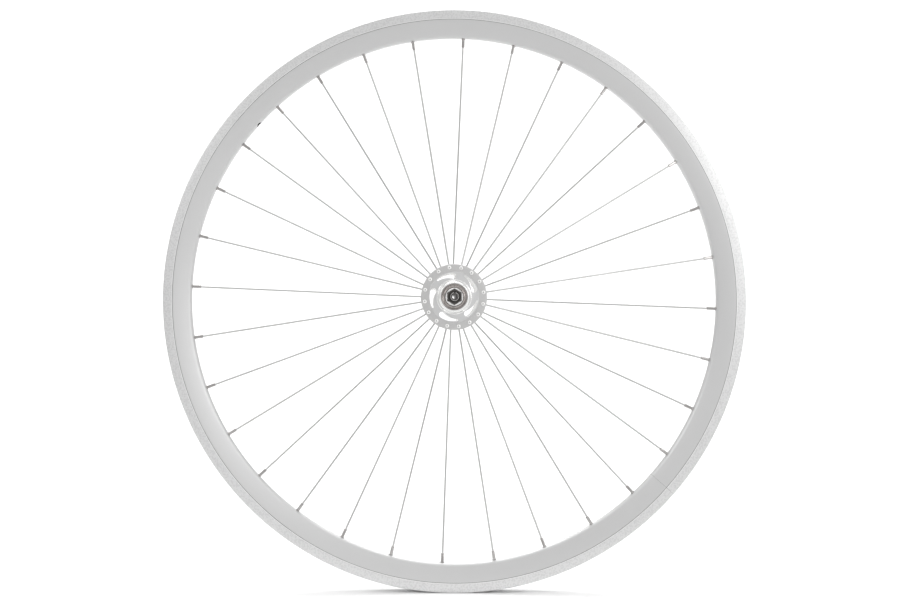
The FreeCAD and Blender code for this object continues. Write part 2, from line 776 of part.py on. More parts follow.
def cap_path():
    """Section of a dust cap: a ring of sheet with a skirt outside and a rolled lip inside."""
    radius, hole, sheet = D["cap_radius"], D["cap_hole_radius"], D["cap_thickness"]
    seat, face = D["cap_seat_face"], D["shell_half_length"] - D["cap_recess"]
    dish, edge = face - D["cap_dish"], D["cap_edge_rounding"]
    border, lip = radius - D["cap_border"], hole + D["cap_lip_width"]
    return [
        (radius - sheet, seat),
        (radius, seat),
        (radius, face - edge),
        arc_to((radius - edge, face), edge, 1),
        (border, face),
        (lip, dish),
        arc_to((hole, dish + D["cap_lip_rise"]), D["cap_lip_bow"], 1),
        (hole, dish - sheet * 0.5),
        (lip, dish - sheet),
        (border - sheet * 0.3, face - sheet),
        (radius - sheet, face - sheet),
    ]


def make_turned(label, path, side):
    """A part that is a plain turning about the axle."""
    body = new_body(label)
    section = new_sketch(body, label + "_section")
    draw(section, on_side(path, side))
    revolve(body, section)
    return body


def make_cone(word, side):
    body = make_turned("cone_" + word, cone_path(), side)
    volume = volume_of(body)
    low, high = D["cone_shoulder_face"] + 0.3, D["cone_face"]
    flat = side_sketch(body, "cone_flat_" + word, side, low, high)
    half, wide = D["cone_flat_half"], D["cone_end_radius"] + 1.0
    draw(flat, [(-wide, half), (wide, half), (wide, wide), (-wide, wide)])
    cut = extrude(body, flat, high - low, "PartDesign::Pocket", backwards=True)
    polar(body, cut, 2)
    must_cut(body, volume)
    return body


def make_balls(word, side):
    """The loose balls of one bearing, evenly spaced."""
    balls = []
    for number in range(int(D["ball_count"].value)):
        ball = doc.addObject("Part::Sphere", f"ball_{word}_{number + 1:02d}")
        ball.Radius = D["ball_radius"].value
        ball.setExpression("Radius", D["ball_radius"].text)
        turn = as_size(360.0 / D["ball_count"].value * number)
        circle = D["ball_circle_radius"]
        across, up = circle * trig("cos", turn), circle * trig("sin", turn)
        for axis, size in (("x", across), ("y", D["ball_plane"] * side), ("z", up)):
            ball.setExpression("Placement.Base." + axis, size.text)
        balls.append(ball)
    group = doc.addObject("Part::Compound", "bearing_balls_" + word)
    group.Links = balls
    return group


# ---- axle and its nuts ---------------------------------------------------------------------------


def make_axle():
    body = new_body("axle")
    section = new_sketch(body, "axle_section")
    radius, bore, bevel = D["axle_radius"], D["axle_bore_radius"], D["axle_chamfer"]
    end, thread = D["axle_half_length"], D["thread_radius"]
    stub = D["locknut_face"] + D["stub_gap"]
    half = [(thread, 0), (thread, stub), (radius, stub), (radius, end - bevel)]
    half += [(radius - bevel, end), (bore, end), (bore, 0)]
    draw(section, both_halves(half))
    revolve(body, section)

    volume = volume_of(body)
    keyway = new_sketch(body, "keyway", "XZ_Plane")
    wide, floor, top = D["keyway_half_width"], D["keyway_floor"], radius + 1.0
    draw(keyway, [(-wide, floor), (wide, floor), (wide, top), (-wide, top)])
    extrude(body, keyway, end * 2 + DRILL_RUN_UP, "PartDesign::Pocket", midplane=True)
    must_cut(body, volume)
    return body


def make_lock_washer(word, side):
    """A washer with a key that slides in the axle's keyway."""
    body = new_body("lock_washer_" + word)
    low = D["cone_face"]
    high = low + D["washer_thickness"]
    bore = D["thread_radius"] + D["thread_gap"]
    ring = side_sketch(body, "washer_ring_" + word, side, low, high)
    draw_circle(ring, 0, 0, D["washer_radius"])
    draw_circle(ring, 0, 0, bore)
    extrude(body, ring, high - low)
    key = side_sketch(body, "washer_key_" + word, side, low, high)
    wide, foot = D["keyway_half_width"] - D["key_gap"], D["keyway_floor"] + D["key_gap"]
    draw(key, [(-wide, foot), (wide, foot), (wide, bore + 0.6), (-wide, bore + 0.6)])
    extrude(body, key, high - low)
    return body


def make_locknut(word, side):
    """A 15 mm hexagon nut with chamfered corners and a countersunk thread."""
    body = new_body("locknut_" + word)
    half, bevel = D["locknut_half"], D["locknut_chamfer"]
    high = D["locknut_face"]
    low = D["cone_face"] + D["washer_thickness"]
    corner = half * (2.0 / math.sqrt(3.0))
    hexagon = side_sketch(body, "hexagon_" + word, side, low, high)
    corners = [as_size(90.0 + 60.0 * i) for i in range(6)]
    draw(hexagon, [(corner * trig("cos", turn), corner * trig("sin", turn)) for turn in corners])
    draw_circle(hexagon, 0, 0, D["thread_radius"] + D["thread_gap"])
    extrude(body, hexagon, high - low)

    volume = volume_of(body)
    edges = new_sketch(body, "chamfers_" + word)
    wide, inside, sink = corner + 0.5, D["thread_radius"] - 0.3, D["countersink_radius"]
    for face, inward in ((high, -1), (low, 1)):
        rim_cut = [(half - 0.3, face), (wide, face), (wide, face + bevel * inward)]
        thread_cut = [(inside, face), (sink, face), (inside, face + (sink - inside) * inward)]
        draw(edges, on_side(rim_cut, side))
        draw(edges, on_side(thread_cut, side))
    revolve(body, edges, "PartDesign::Groove")
    must_cut(body, volume)
    return body


# ---- the wheel -----------------------------------------------------------------------------------


def build_wheel():
    parts = [make_rim(), make_joint_sleeve(), make_hub_shell(), make_axle()]
    parts += [make_spoke(number) for number in spoke_numbers()]
    nipple = make_nipple()
    for word, side in SIDES.items():
        parts += [
            make_nipples(word, side, nipple),
            make_turned("bearing_cup_" + word, cup_path(), side),
            make_turned("dust_cap_" + word, cap_path(), side),
            make_balls(word, side),
            make_cone(word, side),
            make_lock_washer(word, side),
            make_locknut(word, side),
        ]
    doc.recompute()
    return parts


def check(parts):
    """Stops the build if any feature failed or any part is not a valid solid."""
    for thing in doc.Objects:
        if "Invalid" in thing.State or "Error" in thing.State:
            raise RuntimeError(f"{thing.Label} did not build: {thing.State}")
    for part in parts:
        if part.Shape.isNull() or not part.Shape.isValid() or not part.Shape.Solids:
            raise RuntimeError(f"{part.Label} is not a valid solid")


def save(parts):
    os.makedirs("parts", exist_ok=True)
    for part in parts:
        part.Shape.exportStep(os.path.join("parts", part.Label + ".step"))
        print(f"{part.Label}: {len(part.Shape.Solids)} solids, {part.Shape.Volume:.0f} mm3")


wheel = build_wheel()
check(wheel)
save(wheel)
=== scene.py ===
import math

import bmesh
import bpy
from mathutils import Matrix, Vector


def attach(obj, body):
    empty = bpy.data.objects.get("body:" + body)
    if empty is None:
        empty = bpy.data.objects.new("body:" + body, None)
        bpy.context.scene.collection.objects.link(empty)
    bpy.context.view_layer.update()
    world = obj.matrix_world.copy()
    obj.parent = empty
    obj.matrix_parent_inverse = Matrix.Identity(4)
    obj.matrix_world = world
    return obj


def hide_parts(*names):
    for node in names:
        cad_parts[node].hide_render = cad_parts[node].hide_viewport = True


# The looks of a bicycle front wheel. Lengths here are millimetres until a mesh is made. The axle lies
# along Y, +Z is up, and the right-hand side of the wheel, which the camera sees, faces -Y.

MM = 0.001
RIGHT, LEFT = -1, 1
SIDES = {"right": RIGHT, "left": LEFT}

RIM_OUTER = 316.5
RIM_APEX = 286.0
RIM_NOSE = 5.0
NOSE_SLOPE = 20.5
BEAD_SEAT = 311.0
SEAT_START = 5.4
WELL = 306.5
WELL_HALF = 3.4
TRACK_HALF = 9.25
TRACK_INNER = 306.3
TRACK_GROOVE = 0.3
GROOVE_SLOPE = 0.12
WALL_TOP = 305.8
WALL_HALF = 9.55
WALL_BOW = 120.0
CHANNEL_HALF = 6.85
HOOK_HALF = 6.3
HOOK_FOOT = 3.2
HOOK_TOP = 2.4
LIP_ROUNDING = 0.7
LIP_OUTER_ROUNDING = 1.0
BED = 1.15
SPOKE_BED = 3.4
CAVITY_HALF = 7.95
NIPPLE_HOLE = 2.3
ACCESS_HOLE = 4.2
VALVE_HOLE = 3.3

SPOKES = 32
SPOKE_STEP = 360 / SPOKES
FIRST_SPOKE = 8.8
VALVE_ANGLE = FIRST_SPOKE + 11.5 * SPOKE_STEP
JOINT_ANGLE = VALVE_ANGLE + 180
SPOKE_WIRE = 1.0
SPOKE_LEAN = 6.75
SPOKE_BEND = 2.6
SPOKE_SEAT = 287.6
SPOKE_END = 291.4
NIPPLE_LIFT = 1.85

FLANGE_INNER = 32.4
FLANGE_OUTER = 35.6
FLANGE_RADIUS = 35.2
FLANGE_ROUNDING = 1.2
FACE_STEP = 27.2
FACE_DEPTH = 0.4
HOLE_CIRCLE = 31.5
SPOKE_HOLE = 1.3
CAP_RADIUS = 14.15
CAP_SEAT = 40.9
CAP_HOLE = 9.9
SHELL_END = 43.0
CUP_BORE = 13.0
CUP_FLOOR = 32.6
HUB_BORE = 8.0
BARREL = 13.6
COLLAR = 18.0
COLLAR_FILLET = 0.75
SLOTS = 5

AXLE_RADIUS = 4.5
THREAD_RADIUS = 4.175
KEYWAY_FLOOR = 3.5
AXLE_BORE = 2.55
AXLE_END = 54.0
THREAD_PITCH = 1.0
THREAD_DEPTH = 0.5
AXLE_CHAMFER = 0.7
STUB_START = 50.1
LOCKNUT_HALF = 7.5
LOCKNUT_INNER = 46.2
LOCKNUT_OUTER = 50.0
COUNTERSINK = 4.85

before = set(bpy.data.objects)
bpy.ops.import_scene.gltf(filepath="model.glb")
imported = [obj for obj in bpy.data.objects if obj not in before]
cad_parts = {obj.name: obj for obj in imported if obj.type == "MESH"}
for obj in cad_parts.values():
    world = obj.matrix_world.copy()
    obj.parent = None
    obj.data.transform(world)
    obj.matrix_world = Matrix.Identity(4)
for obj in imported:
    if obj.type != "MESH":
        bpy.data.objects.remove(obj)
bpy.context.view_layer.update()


# ---- outlines ------------------------------------------------------------------------------------


def bow(start, end, radius, turn, steps=8):
    """Points of an arc after start up to end; turn is 1 for a left-hand bend, -1 for a right-hand one."""
    (ax, ay), (bx, by) = start, end
    chord = math.hypot(bx - ax, by - ay)
    rise = math.sqrt(max(radius * radius - chord * chord / 4, 0))
    cx = (ax + bx) / 2 - turn * (by - ay) / chord * rise
    cy = (ay + by) / 2 + turn * (bx - ax) / chord * rise
    first = math.atan2(ay - cy, ax - cx)
    sweep = turn * 2 * math.asin(min(chord / 2 / radius, 1))
    turns = [first + sweep * i / steps for i in range(1, steps + 1)]
    return [(cx + radius * math.cos(a), cy + radius * math.sin(a)) for a in turns]


def soften(outline, radius, steps=3):
    """A closed outline with its sharp corners rounded off; gentle bends are left alone."""
    made = []
    for i, corner in enumerate(outline):
        before, after = Vector(outline[i - 1]), Vector(outline[(i + 1) % len(outline)])
        here = Vector(corner)
        back, on = (before - here), (after - here)
        reach = min(radius, back.length * 0.4, on.length * 0.4)
        if back.angle(on) > math.radians(150) or reach < 0.02:
            made.append(tuple(here))
            continue
        p, q = here + back.normalized() * reach, here + on.normalized() * reach
        for k in range(steps + 1):
            t = k / steps
            made.append(tuple(p * (1 - t) ** 2 + here * 2 * t * (1 - t) + q * t * t))
    return made


def mirrored(half):
    """A closed outline made of a half path that starts and ends at y = 0 and its mirror image."""
    return half + [(x, -y) for x, y in half[-2:0:-1]]


# ---- meshes --------------------------------------------------------------------------------------


def new_object(name, bm, sharp=32):
    bmesh.ops.recalc_face_normals(bm, faces=bm.faces)
    mesh = bpy.data.meshes.new(name)
    bm.to_mesh(mesh)
    bm.free()
    mesh.shade_smooth()
    mesh.set_sharp_from_angle(angle=math.radians(sharp))
    obj = bpy.data.objects.new(name, mesh)
    bpy.context.scene.collection.objects.link(obj)
    return obj


def rings_to_mesh(rings, closed):
    """Joins rings of points, given in millimetres, into one skin; closed joins the last to the first."""
    bm = bmesh.new()
    loops = [[bm.verts.new(Vector(p) * MM) for p in ring] for ring in rings]
    pairs = list(zip(loops, loops[1:]))
    if closed:
        pairs.append((loops[-1], loops[0]))
    else:
        bm.faces.new(loops[0])
        bm.faces.new(loops[-1])
    for a, b in pairs:
        for i in range(len(a)):
            j = (i + 1) % len(a)
            bm.faces.new((a[i], a[j], b[j], b[i]))
    return bm


def turned(outline, segments, side=LEFT):
    """A closed outline of (radius, y) points turned about the axle."""
    rings = []
    for k in range(segments):
        a = math.tau * k / segments
        rings.append([(r * math.cos(a), y * side, r * math.sin(a)) for r, y in outline])
    return rings_to_mesh(rings, closed=True)


def rod(start, direction, radii, segments=32):
    """A round cutter along a straight line; radii is a list of (distance, radius)."""
    direction = Vector(direction).normalized()
    across = direction.orthogonal().normalized()
    other = direction.cross(across)
    rings = []
    for distance, radius in radii:
        middle = Vector(start) + direction * distance
        turns = [math.tau * k / segments for k in range(segments)]
        rings.append([middle + (across * math.cos(a) + other * math.sin(a)) * radius for a in turns])
    return rings_to_mesh(rings, closed=False)


def prism(outline, low, high):
    """A cutter with an outline of (x, z) points that runs from y = low to y = high."""
    return rings_to_mesh([[(x, y, z) for x, z in outline] for y in (low, high)], closed=False)


def merged(parts):
    """Several skins in one mesh; each keeps its own faces."""
    whole = bmesh.new()
    for part in parts:
        bmesh.ops.recalc_face_normals(part, faces=part.faces)
        mesh = bpy.data.meshes.new("piece")
        part.to_mesh(mesh)
        part.free()
        whole.from_mesh(mesh)
        bpy.data.meshes.remove(mesh)
    return whole


def carved(name, bm, cutters, operation="DIFFERENCE", sharp=32):
    """The object left when the cutters have been taken out of, or kept from, a solid."""
    obj = new_object(name, bm, sharp)
    tool = new_object("cutter", merged(cutters))
    step = obj.modifiers.new("carve", "BOOLEAN")
    step.operation = operation
    step.solver = "EXACT"
    step.object = tool
    result = obj.evaluated_get(bpy.context.evaluated_depsgraph_get())
    mesh = bpy.data.meshes.new_from_object(result)
    mesh.name = name
    obj.modifiers.clear()
    obj.data = mesh
    mesh.set_sharp_from_angle(angle=math.radians(sharp))
    bpy.data.objects.remove(tool)
    return obj


def about_axle(angle):
    """A turn about the axle that lifts +X by angle degrees towards +Z."""
    return Matrix.Rotation(math.radians(-angle), 4, "Y")


def polar(angle, radius, y=0.0):
    a = math.radians(angle)
    return Vector((radius * math.cos(a), y, radius * math.sin(a)))


# ---- materials -----------------------------------------------------------------------------------


class Metal:
    """A Principled metal whose colour, roughness and bump are built up from procedural patterns."""

    def __init__(self, name, colour, roughness, metallic=1.0):
        self.material = bpy.data.materials.new(name)
        self.material.use_nodes = True
        self.tree = self.material.node_tree
        self.shader = self.tree.nodes["Principled BSDF"]
        self.shader.inputs["Metallic"].default_value = metallic
        self.coords = self.tree.nodes.new("ShaderNodeTexCoord").outputs["Object"]
        self.colour = self.constant(colour)
        self.roughness = self.value(roughness)
        self.height = None

    def node(self, kind, **settings):
        made = self.tree.nodes.new(kind)
        for key, value in settings.items():
            setattr(made, key, value)
        return made

    def join(self, source, socket):
        if hasattr(source, "links"):
            self.tree.links.new(source, socket)
        else:
            socket.default_value = source

    def constant(self, colour):
        made = self.node("ShaderNodeRGB")
        made.outputs[0].default_value = (*colour, 1.0)
        return made.outputs[0]

    def value(self, number):
        made = self.node("ShaderNodeValue")
        made.outputs[0].default_value = number
        return made.outputs[0]

    def math(self, operation, a, b=0.0, clamp=False):
        made = self.node("ShaderNodeMath", operation=operation, use_clamp=clamp)
        self.join(a, made.inputs[0])
        self.join(b, made.inputs[1])
        return made.outputs[0]

    def vector(self, operation, a, b=(0.0, 0.0, 0.0)):
        made = self.node("ShaderNodeVectorMath", operation=operation)
        self.join(a, made.inputs[0])
        self.join(b, made.inputs[1])
        return made.outputs["Value" if operation in ("LENGTH", "DOT_PRODUCT") else "Vector"]

    def noise(self, scale, detail=3.0, stretch=(1.0, 1.0, 1.0)):
        """A grain of the given number of lumps per metre, stretched along the object's axes."""
        made = self.node("ShaderNodeTexNoise")
        made.inputs["Scale"].default_value = scale
        made.inputs["Detail"].default_value = detail
        self.join(self.vector("MULTIPLY", self.coords, stretch), made.inputs["Vector"])
        return made.outputs[0]

    def lines(self, distance, per_metre, detail=2.0):
        """Fine lines where the distance is constant, such as those a lathe tool leaves."""
        made = self.node("ShaderNodeTexNoise", noise_dimensions="1D")
        made.inputs["Scale"].default_value = per_metre
        made.inputs["Detail"].default_value = detail
        self.join(distance, made.inputs["W"])
        return made.outputs[0]

    def from_axle(self):
        """Distance from the axle, in metres."""
        return self.vector("LENGTH", self.vector("MULTIPLY", self.coords, (1.0, 0.0, 1.0)))

    def along(self, direction):
        return self.vector("DOT_PRODUCT", self.coords, tuple(direction))

    def band(self, value, low, high, blur):
        """1 where a value lies between low and high and 0 elsewhere, with a soft edge."""
        rise = self.node("ShaderNodeMapRange", interpolation_type="SMOOTHSTEP")
        fall = self.node("ShaderNodeMapRange", interpolation_type="SMOOTHSTEP")
        for made, edge in ((rise, low), (fall, high)):
            self.join(value, made.inputs["Value"])
            made.inputs["From Min"].default_value = edge - blur
            made.inputs["From Max"].default_value = edge + blur
        return self.math("SUBTRACT", rise.outputs[0], fall.outputs[0], clamp=True)

    def ring(self, low, high, blur):
        """1 between two distances from the axle, in millimetres, and 0 elsewhere, with a soft edge."""
        return self.band(self.from_axle(), low * MM, high * MM, blur * MM)

    def tint(self, colour, amount):
        """Mixes in a colour by an amount from 0 to 1."""
        made = self.node("ShaderNodeMix", data_type="RGBA")
        self.join(amount, made.inputs[0])
        self.join(self.colour, made.inputs[6])
        self.join(self.constant(colour), made.inputs[7])
        self.colour = made.outputs[2]

    def rough(self, amount, by):
        """Adds by to the roughness where amount is 1; a pattern around 0.5 changes it both ways."""
        self.roughness = self.math("ADD", self.roughness, self.math("MULTIPLY", amount, by), clamp=True)

    def raised(self, amount, height):
        """Raises the surface by a height in metres where amount is 1."""
        made = self.math("MULTIPLY", amount, height)
        self.height = made if self.height is None else self.math("ADD", self.height, made)

    def brushed_round(self, amount):
        """Stretches highlights across the fine rings that turning leaves about the axle."""
        tangent = self.node("ShaderNodeTangent", direction_type="RADIAL", axis="Y")
        self.join(tangent.outputs[0], self.shader.inputs["Tangent"])
        self.shader.inputs["Anisotropic"].default_value = amount
        self.shader.inputs["Anisotropic Rotation"].default_value = 0.25

    def finished(self):
        self.join(self.colour, self.shader.inputs["Base Color"])
        self.join(self.roughness, self.shader.inputs["Roughness"])
        if self.height is not None:
            bump = self.node("ShaderNodeBump")
            bump.inputs["Distance"].default_value = 1.0
            self.join(self.height, bump.inputs["Height"])
            self.join(bump.outputs[0], self.shader.inputs["Normal"])
        return self.material


def paint_brake_track(metal):
    """Turning lines and a mottle on the track, a painted highlight along its inner edge and painted shade in
    the groove beside it.
    """
    track = metal.ring(TRACK_INNER, RIM_OUTER - 0.5, 0.08)
    cuts = metal.lines(metal.from_axle(), 5200.0)
    metal.tint((0.80, 0.80, 0.80), metal.math("MULTIPLY", track, 0.8))
    metal.tint((0.50, 0.50, 0.50), metal.math("MULTIPLY", track, metal.math("MULTIPLY", cuts, 0.40)))
    mottle = metal.band(metal.noise(520.0, 2.0), 0.53, 9.0, 0.05)
    metal.tint((0.40, 0.40, 0.40), metal.math("MULTIPLY", track, metal.math("MULTIPLY", mottle, 0.22)))
    # Painted highlight along the track's inner edge.
    edge = metal.ring(TRACK_INNER, TRACK_INNER + 0.7, 0.05)
    metal.tint((0.92, 0.92, 0.92), metal.math("MULTIPLY", edge, 0.7))
    # Painted shade in the groove beside the track.
    groove = metal.ring(TRACK_INNER - 0.6, TRACK_INNER - 0.05, 0.05)
    metal.tint((0.20, 0.20, 0.20), metal.math("MULTIPLY", groove, 0.8))
    metal.raised(metal.math("MULTIPLY", track, cuts), 1.2e-6)


def paint_rim_joint(metal):
    """The hairline where the two ends of the extrusion meet."""
    joint = math.radians(JOINT_ANGLE)
    half = 0.09 * MM
    across = metal.along((-math.sin(joint), 0.0, math.cos(joint)))
    outward = metal.along((math.cos(joint), 0.0, math.sin(joint)))
    hairline = metal.band(across, -half, half, 0.04 * MM)
    near_joint = metal.math("MULTIPLY", hairline, metal.math("GREATER_THAN", outward, 0.0))
    metal.tint((0.10, 0.10, 0.10), metal.math("MULTIPLY", near_joint, 0.85))
    metal.raised(near_joint, -4e-5)


def paint_valve_hole_shade(metal):
    """Painted shade on the wall of the valve hole."""
    valve = math.radians(VALVE_ANGLE)
    outward = (math.cos(valve), 0.0, math.sin(valve))
    from_valve = metal.vector("LENGTH", metal.vector("CROSS_PRODUCT", metal.coords, outward))
    # Painted shade inside the valve hole.
    hole = metal.band(from_valve, -0.01, (VALVE_HOLE + 0.1) * MM, 0.05 * MM)
    on_this_side = metal.math("GREATER_THAN", metal.along(outward), 0.0)
    metal.tint((0.03, 0.03, 0.03), metal.math("MULTIPLY", hole, on_this_side))


def rim_metal():
    """Satin anodised extrusion with machined brake tracks, a hairline joint and a valve hole, with painted
    highlight and shade at each track's inner edge and painted shade in the valve hole.
    """
    metal = Metal("rim_anodised", (0.63, 0.63, 0.63), 0.38)
    metal.rough(metal.noise(9.0, 5.0), 0.10)
    metal.rough(metal.noise(1800.0, 1.0), 0.05)
    metal.tint((0.54, 0.54, 0.54), metal.math("MULTIPLY", metal.noise(5.0, 4.0), 0.25))
    paint_brake_track(metal)
    metal.raised(metal.lines(metal.from_axle(), 1500.0, 4.0), 0.8e-6)
    metal.raised(metal.noise(2600.0, 2.0), 0.5e-6)
    paint_rim_joint(metal)
    paint_valve_hole_shade(metal)
    metal.brushed_round(0.55)
    return metal.finished()


def hub_metal():
    """Satin flanges with a duller outer ring; the hub body and the inner faces are polished."""
    metal = Metal("hub_alloy", (0.64, 0.64, 0.64), 0.32)
    inner_side = (FLANGE_INNER + 1.1) * MM
    ring = metal.ring(FACE_STEP - 0.1, 50.0, 0.1)
    between = metal.band(metal.along((0.0, 1.0, 0.0)), -inner_side, inner_side, 0.1 * MM)
    polished = metal.math("MAXIMUM", metal.ring(-10.0, COLLAR + 0.6, 0.4), between)
    cuts = metal.lines(metal.from_axle(), 6000.0)
    grain = metal.noise(900.0, 3.0)
    metal.tint((0.57, 0.565, 0.56), metal.math("MULTIPLY", ring, 0.75))
    metal.tint((0.96, 0.96, 0.95), metal.math("MULTIPLY", polished, 0.97))
    metal.rough(ring, 0.14)
    metal.rough(polished, -0.18)
    metal.rough(metal.noise(60.0, 4.0), 0.06)
    metal.tint((0.42, 0.42, 0.42), metal.math("MULTIPLY", metal.math("MULTIPLY", grain, ring), 0.45))
    metal.raised(metal.math("MULTIPLY", cuts, metal.math("SUBTRACT", 1.0, polished)), 1.2e-6)
    metal.raised(metal.math("MULTIPLY", grain, ring), 5.0e-6)
    return metal.finished()


def spoke_metal():
    """Drawn stainless wire, with its grain along the wire, and a painted highlight on its head with painted
    shade in the head's middle.
    """
    metal = Metal("spoke_stainless", (0.50, 0.50, 0.495), 0.24)
    grain = metal.noise(900.0, 3.0, (0.02, 1.0, 1.0))
    sideways = metal.math("ABSOLUTE", metal.along((0.0, 1.0, 0.0)))
    beyond_flange = metal.math("GREATER_THAN", sideways, FLANGE_OUTER * MM)
    metal.rough(grain, 0.14)
    metal.tint((0.36, 0.36, 0.36), metal.math("MULTIPLY", metal.noise(70.0, 3.0), 0.35))
    # Painted highlight: the spoke head is made bright.
    metal.tint((0.84, 0.84, 0.83), beyond_flange)
    # Painted shade in the middle of each head.
    from_hole = metal.vector("SUBTRACT", metal.coords, (HOLE_CIRCLE * MM, 0.0, 0.0))
    across_head = metal.vector("LENGTH", metal.vector("MULTIPLY", from_hole, (1.0, 0.0, 1.0)))
    middle = metal.band(across_head, -0.01, 0.7 * MM, 0.2 * MM)
    head_middle_shade = metal.math("MULTIPLY", middle, beyond_flange)
    metal.tint((0.30, 0.30, 0.30), metal.math("MULTIPLY", head_middle_shade, 0.8))
    metal.raised(grain, 1.5e-6)
    return metal.finished()


def nipple_metal():
    """Nickel-plated brass."""
    metal = Metal("nipple_nickel", (0.50, 0.49, 0.48), 0.14)
    metal.rough(metal.noise(400.0, 3.0), 0.12)
    metal.tint((0.10, 0.09, 0.09), metal.math("MULTIPLY", metal.noise(220.0, 4.0), 0.45))
    metal.raised(metal.noise(2500.0, 2.0), 1.5e-6)
    return metal.finished()


def cap_metal():
    """Plated sheet steel, a little brown, with turning marks and painted shade along its rounded outer edge.
    """
    metal = Metal("dust_cap_plated", (0.56, 0.525, 0.505), 0.16)
    radius = metal.from_axle()
    metal.rough(metal.noise(150.0, 4.0), 0.10)
    metal.tint((0.25, 0.22, 0.20), metal.math("MULTIPLY", metal.noise(90.0, 4.0), 0.30))
    # Painted shade along the cap's rounded outer edge, beside the hub shell.
    outer_edge_shade = metal.ring(CAP_RADIUS - 0.5, 20.0, 0.12)
    metal.tint((0.16, 0.15, 0.14), metal.math("MULTIPLY", outer_edge_shade, 0.75))
    metal.tint((0.20, 0.18, 0.17), metal.math("MULTIPLY", metal.lines(radius, 1400.0, 2.0), 0.35))
    metal.raised(metal.lines(radius, 7000.0), 1.2e-6)
    metal.brushed_round(0.8)
    return metal.finished()


def black_metal():
    """Black oxide on steel, paler in a thin ring near the edge of each face, with the rings of its serrated
    face.
    """
    metal = Metal("locknut_black", (0.030, 0.029, 0.028), 0.34, 0.85)
    metal.rough(metal.noise(500.0, 4.0), 0.18)
    metal.tint((0.16, 0.15, 0.14), metal.math("MULTIPLY", metal.noise(700.0, 4.0), 0.35))
    # A thin paler ring near the edge of each face.
    pale_edge_ring = metal.ring(LOCKNUT_HALF - 0.7, LOCKNUT_HALF - 0.2, 0.1)
    metal.tint((0.20, 0.19, 0.18), metal.math("MULTIPLY", pale_edge_ring, 0.5))
    metal.raised(metal.lines(metal.from_axle(), 3500.0, 1.0), 1.2e-5)
    return metal.finished()


def steel(name, colour, roughness):
    """Ground bearing steel with a thin film of grease here and there."""
    metal = Metal(name, colour, roughness)
    metal.rough(metal.noise(250.0, 4.0), 0.16)
    metal.tint((0.35, 0.33, 0.30), metal.math("MULTIPLY", metal.noise(130.0, 4.0), 0.3))
    metal.raised(metal.lines(metal.along((0.0, 1.0, 0.0)), 6000.0), 1.0e-6)
    return metal.finished()


def axle_metal():
    """Steel with its own colour on its outer skin, painted shade on the end faces round the bore and painted
    light in the bore.
    """
    metal = Metal("axle_steel_dark", (0.07, 0.068, 0.066), 0.26)
    # The steel's own colour on the outer skin; nearer the bore the dark base stays, as painted shade on the
    # end faces.
    metal.tint((0.45, 0.44, 0.43), metal.ring(AXLE_RADIUS - 0.6, 6.0, 0.1))
    # Painted light in the bore, standing in for the white seen through it.
    metal.tint((0.50, 0.49, 0.48), metal.ring(-10.0, AXLE_BORE + 0.05, 0.1))
    metal.rough(metal.noise(400.0, 4.0), 0.14)
    metal.tint((0.10, 0.09, 0.09), metal.math("MULTIPLY", metal.noise(300.0, 4.0), 0.3))
    metal.raised(metal.lines(metal.from_axle(), 7000.0), 1.0e-6)
    return metal.finished()


def stage_white():
    """Matt white paper, not quite even, with painted shade in front of the wheel, where the rim mirrors it.
    """
    metal = Metal("stage_paper", (0.93, 0.93, 0.93), 0.85, 0.0)
    metal.tint((0.90, 0.90, 0.90), metal.math("MULTIPLY", metal.noise(3.0, 3.0), 0.3))
    # Painted shade on the paper in front of the wheel, which the rim mirrors.
    front_shade = metal.band(metal.along((0.0, 1.0, 0.0)), -9.0, -0.16, 0.13)
    metal.tint((0.70, 0.70, 0.70), front_shade)
    metal.raised(metal.noise(900.0, 2.0), 2e-6)
    return metal.finished()


def finish_piece(obj, body, material, slot, *nodes):
    obj.data.materials.clear()
    obj.data.materials.append(material)
    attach(obj, body)
    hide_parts(*nodes)


# ---- rim -----------------------------------------------------------------------------------------


def rim_outside():
    """Half of the rim section, from the well floor over the flange and down to the apex."""
    slope = math.radians(NOSE_SLOPE)
    tangent = (RIM_APEX + RIM_NOSE * (1 - math.sin(slope)), RIM_NOSE * math.cos(slope))
    half = [(WELL, 0), (WELL, WELL_HALF), (BEAD_SEAT, SEAT_START), (BEAD_SEAT, CHANNEL_HALF)]
    half += [(RIM_OUTER - HOOK_FOOT, CHANNEL_HALF), (RIM_OUTER - HOOK_TOP, HOOK_HALF)]
    half.append((RIM_OUTER - LIP_ROUNDING, HOOK_HALF))
    half += bow(half[-1], (RIM_OUTER, HOOK_HALF + LIP_ROUNDING), LIP_ROUNDING, 1, 5)
    half.append((RIM_OUTER, TRACK_HALF - LIP_OUTER_ROUNDING))
    half += bow(half[-1], (RIM_OUTER - LIP_OUTER_ROUNDING, TRACK_HALF), LIP_OUTER_ROUNDING, 1, 6)
    half += [(TRACK_INNER, TRACK_HALF), (TRACK_INNER - GROOVE_SLOPE, TRACK_HALF - TRACK_GROOVE)]
    half += [(WALL_TOP + GROOVE_SLOPE, TRACK_HALF - TRACK_GROOVE), (WALL_TOP, WALL_HALF)]
    half += bow(half[-1], tangent, WALL_BOW, 1, 8)
    half += bow(half[-1], (RIM_APEX, 0), RIM_NOSE, 1, 10)
    return half


def rim_cavity():
    """Half of the cavity section, from under the well to the spoke bed."""
    floor = RIM_APEX + SPOKE_BED
    return [
        (WELL - BED, 0),
        (WELL - BED, WELL_HALF + 0.5),
        (BEAD_SEAT - BED, SEAT_START + 0.75),
        (BEAD_SEAT - BED, CAVITY_HALF - 0.2),
        (WALL_TOP - 1.0, CAVITY_HALF),
        (floor + 0.8, 3.7),
        (floor, 2.7),
        (floor, 0),
    ]


